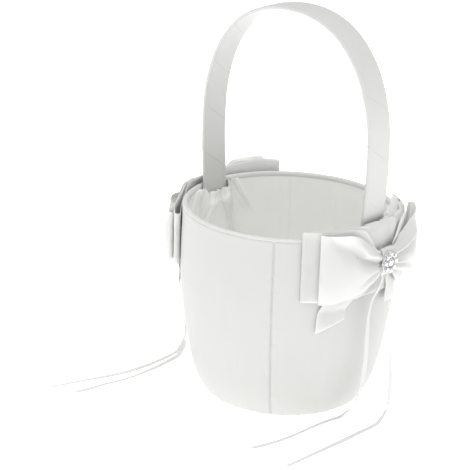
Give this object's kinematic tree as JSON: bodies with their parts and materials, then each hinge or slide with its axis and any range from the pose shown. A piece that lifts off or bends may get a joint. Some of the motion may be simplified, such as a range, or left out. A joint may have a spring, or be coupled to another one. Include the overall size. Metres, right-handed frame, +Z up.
{
  "type": "flower girl basket",
  "caption": "Round satin-covered basket with a soft lining, an arched ribbon-wrapped handle, a ribbon bow with a cluster of clear stones at each side, and thin hanging ribbons.",
  "frame": {"origin": "centre of the flat underside", "axes": "+Z up towards the handle's top, +X towards the right foot of the handle, -Y to the front, where the thin ribbons lie"},
  "size_m": [0.1968, 0.1816, 0.2603],
  "materials": {
    "satin_cover": "white satin, softly glossy, sewn in panels",
    "satin_lining": "white satin lining with soft folds",
    "satin_wrap": "white satin ribbon wound round the handle",
    "satin_ribbon": "white double-faced satin ribbon",
    "thin_ribbon": "narrow white satin ribbon",
    "base_board": "white covered card",
    "bucket_plastic": "plain white moulded plastic",
    "foam": "thin white padding",
    "rivet_steel": "plain steel rivets",
    "silver_setting": "bright silver-coloured claw setting",
    "clear_stone": "clear cut rhinestones"
  },
  "bodies": {
    "root": {"base_disc": "base_board", "moulded_bucket": "bucket_plastic", "foam_wrap": "foam", "cover_panel_front_right": "satin_cover", "cover_panel_back_right": "satin_cover", "cover_panel_back_left": "satin_cover", "cover_panel_front_left": "satin_cover", "lining_front_right": "satin_lining", "lining_back_left": "satin_lining", "lining_floor": "satin_lining", "rim_binding": "satin_cover", "handle_core": "bucket_plastic", "handle_wrap": "satin_wrap", "handle_rivet_right_lower": "rivet_steel", "handle_rivet_right_upper": "rivet_steel", "handle_rivet_left_lower": "rivet_steel", "handle_rivet_left_upper": "rivet_steel", "bow_under_ribbon_right": "satin_ribbon", "bow_upper_ribbon_right": "satin_ribbon", "bow_tail_ribbon_right": "satin_ribbon", "bow_knot_right": "satin_ribbon", "stone_setting_right": "silver_setting", "stone_right_centre": "clear_stone", "stone_right_1": "clear_stone", "stone_right_2": "clear_stone", "stone_right_3": "clear_stone", "stone_right_4": "clear_stone", "stone_right_5": "clear_stone", "stone_right_6": "clear_stone", "stone_right_7": "clear_stone", "stone_right_8": "clear_stone", "thin_ribbon_right_outer": "thin_ribbon", "thin_ribbon_right_inner": "thin_ribbon", "bow_under_ribbon_left": "satin_ribbon", "bow_upper_ribbon_left": "satin_ribbon", "bow_tail_ribbon_left": "satin_ribbon", "bow_knot_left": "satin_ribbon", "stone_setting_left": "silver_setting", "stone_left_centre": "clear_stone", "stone_left_1": "clear_stone", "stone_left_2": "clear_stone", "stone_left_3": "clear_stone", "stone_left_4": "clear_stone", "stone_left_5": "clear_stone", "stone_left_6": "clear_stone", "stone_left_7": "clear_stone", "stone_left_8": "clear_stone", "thin_ribbon_left_outer": "thin_ribbon", "thin_ribbon_left_inner": "thin_ribbon"}
  },
  "joints": []
}
